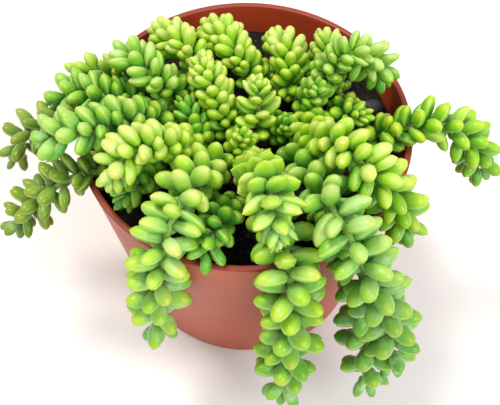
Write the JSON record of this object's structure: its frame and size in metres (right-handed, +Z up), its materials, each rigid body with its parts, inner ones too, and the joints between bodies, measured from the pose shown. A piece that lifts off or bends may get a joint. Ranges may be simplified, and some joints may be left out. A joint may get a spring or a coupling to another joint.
{
  "type": "potted sedum",
  "caption": "Round tapered plastic pot of soil holding a trailing succulent: leafy stems rise, arch and hang over the rim, set all round with plump bean-shaped leaves.",
  "frame": {"origin": "centre of the pot's flat underside, on the surface it stands on", "axes": "+Z up along the pot's axis; -Y is the side that faces the picture's viewer, where the longest stems trail; +X to that viewer's right"},
  "size_m": [0.2152, 0.1635, 0.1548],
  "materials": {
    "pot": "moulded terracotta-coloured plastic, satin outside, redder inside",
    "soil": "loose damp peat and bark with fine fibres and a few stones",
    "leaf_bright": "smooth waxy yellow-green leaves, soft sheen, light shows through them",
    "leaf_green": "smooth waxy green leaves with a pale bloom near the base",
    "leaf_olive": "smooth waxy olive-green leaves with yellow-brown tips"
  },
  "bodies": {
    "root": {"pot": "pot", "soil": "soil", "stem_front_left_trailer": "leaf_bright", "stem_front_arch": "leaf_bright", "stem_front_trailer": "leaf_bright", "stem_front_right_trailer": "leaf_green", "stem_right_arch": "leaf_bright", "stem_front_left_arch": "leaf_bright", "stem_left_main": "leaf_green", "stem_upper_right": "leaf_green", "stem_far_right": "leaf_bright", "stem_left_low": "leaf_olive", "stem_left_back": "leaf_green", "stem_centre_left": "leaf_bright", "stem_back_left": "leaf_bright", "stem_back_centre_left": "leaf_bright", "stem_back_centre_right": "leaf_bright", "stem_back_right": "leaf_bright", "stem_left_upper": "leaf_green", "stem_far_left_back": "leaf_bright", "stem_inner_trailer": "leaf_green", "stem_left_under": "leaf_olive", "stem_front_left_small": "leaf_green", "stem_centre_upright": "leaf_bright", "stem_centre_front_small": "leaf_green", "stem_centre_right_tuft": "leaf_green", "stem_right_tuft": "leaf_bright", "stem_centre_tuft": "leaf_green", "stem_centre_low_left": "leaf_green", "stem_centre_front_tuft": "leaf_bright"}
  },
  "joints": []
}
